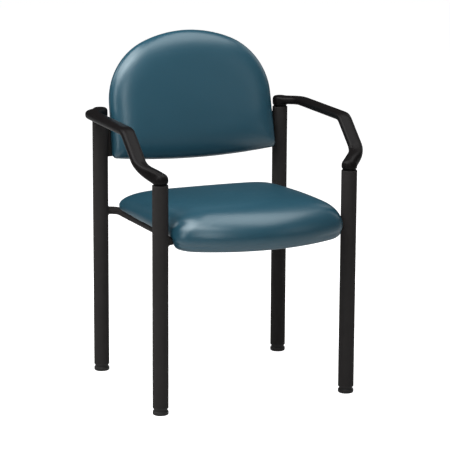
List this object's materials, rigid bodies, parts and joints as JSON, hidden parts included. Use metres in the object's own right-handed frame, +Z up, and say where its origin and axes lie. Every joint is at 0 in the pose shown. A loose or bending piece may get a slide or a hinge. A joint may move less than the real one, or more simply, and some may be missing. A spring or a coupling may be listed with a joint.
{
  "type": "side chair",
  "caption": "Side chair with moulded arms on upright round steel tube legs, a crowned vinyl seat with a rolled front edge, a padded D-shaped back and feet that screw out.",
  "frame": {"origin": "on the floor, under the middle of the chair's overall box", "axes": "+Z up, -Y to the front where the sitter faces, +X to the right as seen from the front"},
  "size_m": [0.596, 0.563, 0.8447],
  "materials": {
    "powder_coat": "satin",
    "arm_plastic": "matte",
    "foot_plastic": "satin",
    "panel_plastic": "matte",
    "zinc_steel": "satin",
    "black_screws": "satin",
    "core_steel": "matte",
    "plywood": "matte",
    "foam": "matte",
    "vinyl": "satin",
    "dust_cloth": "matte"
  },
  "bodies": {
    "chair": {"arm_bolts": "zinc_steel", "arm_core_left": "core_steel", "arm_core_right": "core_steel", "arm_left": "arm_plastic", "arm_plug_front_left": "arm_plastic", "arm_plug_front_right": "arm_plastic", "arm_plug_rear_left": "arm_plastic", "arm_plug_rear_right": "arm_plastic", "arm_right": "arm_plastic", "back_board": "plywood", "back_bolts": "black_screws", "back_bracket_left": "powder_coat", "back_bracket_right": "powder_coat", "back_cover": "vinyl", "back_foam": "foam", "back_rear_panel": "panel_plastic", "back_t_nuts": "zinc_steel", "cross_rail_front": "powder_coat", "cross_rail_rear": "powder_coat", "foot_insert_front_left": "foot_plastic", "foot_insert_front_right": "foot_plastic", "foot_insert_rear_left": "foot_plastic", "foot_insert_rear_right": "foot_plastic", "leg_front_left": "powder_coat", "leg_front_right": "powder_coat", "leg_rear_left": "powder_coat", "leg_rear_right": "powder_coat", "seat_board": "plywood", "seat_bolts": "black_screws", "seat_cover": "vinyl", "seat_dust_cover": "dust_cloth", "seat_foam": "foam", "seat_rail_left": "powder_coat", "seat_rail_right": "powder_coat", "seat_t_nuts": "zinc_steel"},
    "glide_front_left": {"glide_base_front_left": "foot_plastic", "glide_stud_front_left": "zinc_steel"},
    "glide_front_right": {"glide_base_front_right": "foot_plastic", "glide_stud_front_right": "zinc_steel"},
    "glide_rear_left": {"glide_base_rear_left": "foot_plastic", "glide_stud_rear_left": "zinc_steel"},
    "glide_rear_right": {"glide_base_rear_right": "foot_plastic", "glide_stud_rear_right": "zinc_steel"}
  },
  "joints": [
    {"name": "level_front_left", "type": "slide", "parent": "chair", "child": "glide_front_left", "axis": [0, 0, -1], "range_m": [0, 0.008]},
    {"name": "level_front_right", "type": "slide", "parent": "chair", "child": "glide_front_right", "axis": [0, 0, -1], "range_m": [0, 0.008]},
    {"name": "level_rear_left", "type": "slide", "parent": "chair", "child": "glide_rear_left", "axis": [0, 0, -1], "range_m": [0, 0.008]},
    {"name": "level_rear_right", "type": "slide", "parent": "chair", "child": "glide_rear_right", "axis": [0, 0, -1], "range_m": [0, 0.008]}
  ]
}
